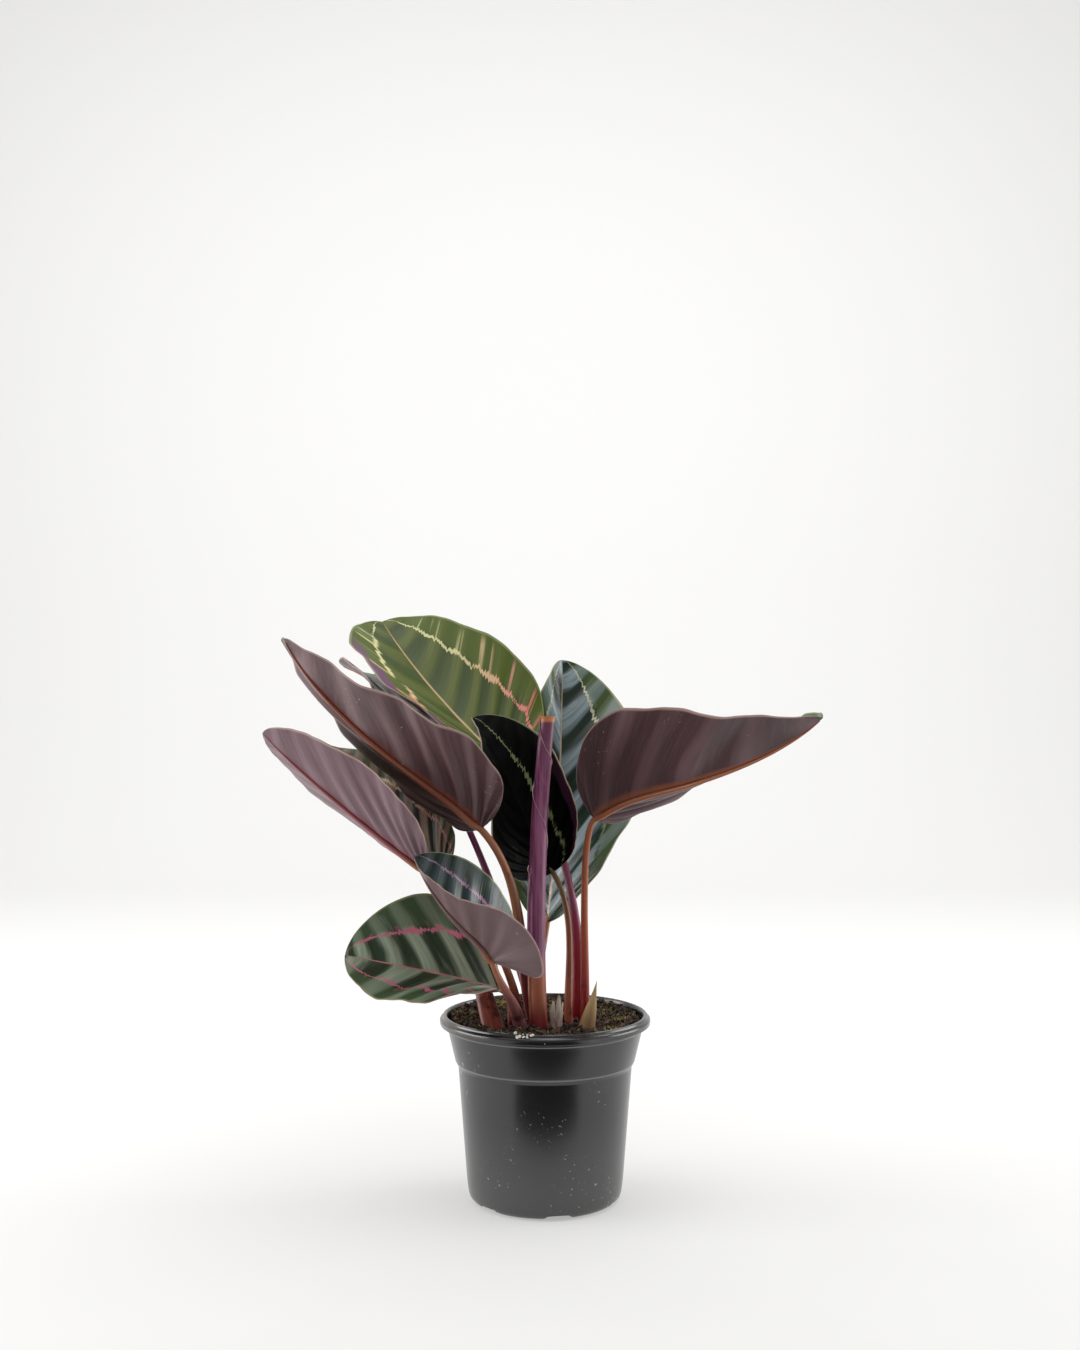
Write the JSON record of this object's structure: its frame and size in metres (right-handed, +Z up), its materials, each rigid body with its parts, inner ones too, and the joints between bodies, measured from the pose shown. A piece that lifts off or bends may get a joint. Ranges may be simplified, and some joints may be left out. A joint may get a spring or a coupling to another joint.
{
  "type": "potted calathea plant",
  "caption": "Young prayer plant with broad leaves, purple below and banded green above, rising from soil in a tapered dark nursery pot.",
  "frame": {"origin": "on the pot's axis at the level its foot stands on", "axes": "+Z up along the pot's axis; the view side of the plant faces -Y"},
  "size_m": [0.3003, 0.2377, 0.3366],
  "materials": {
    "pot": "satin moulded charcoal plastic",
    "soil": "damp peat with moss and perlite crumbs",
    "leaf_top_back": "living leaf, green above and purple below",
    "leaf_left_upper": "living leaf, green above and purple below",
    "leaf_left_middle": "living leaf, green above and purple below",
    "leaf_left_back": "living leaf, green above and purple below",
    "leaf_left_inner": "living leaf, green above and purple below",
    "leaf_dark_center": "living leaf, green above and purple below",
    "leaf_upright": "living leaf, green above and purple below",
    "leaf_right": "living leaf, green above and purple below",
    "leaf_low_left": "living leaf, green above and purple below",
    "leaf_low_front": "living leaf, green above and purple below",
    "roll": "rolled living leaf, purple outside",
    "tan_sheath": "dry papery sheath",
    "dry_sheath": "torn fibrous sheath"
  },
  "bodies": {
    "root": {"pot": "pot", "soil": "soil", "leaf_top_back": "leaf_top_back", "leaf_left_upper": "leaf_left_upper", "leaf_left_middle": "leaf_left_middle", "leaf_left_back": "leaf_left_back", "leaf_left_inner": "leaf_left_inner", "leaf_dark_center": "leaf_dark_center", "leaf_upright": "leaf_upright", "leaf_right": "leaf_right", "leaf_low_left": "leaf_low_left", "leaf_low_front": "leaf_low_front", "leaf_rolled": "roll", "sheath_tan": "tan_sheath", "sheath_dry": "dry_sheath"}
  },
  "joints": []
}
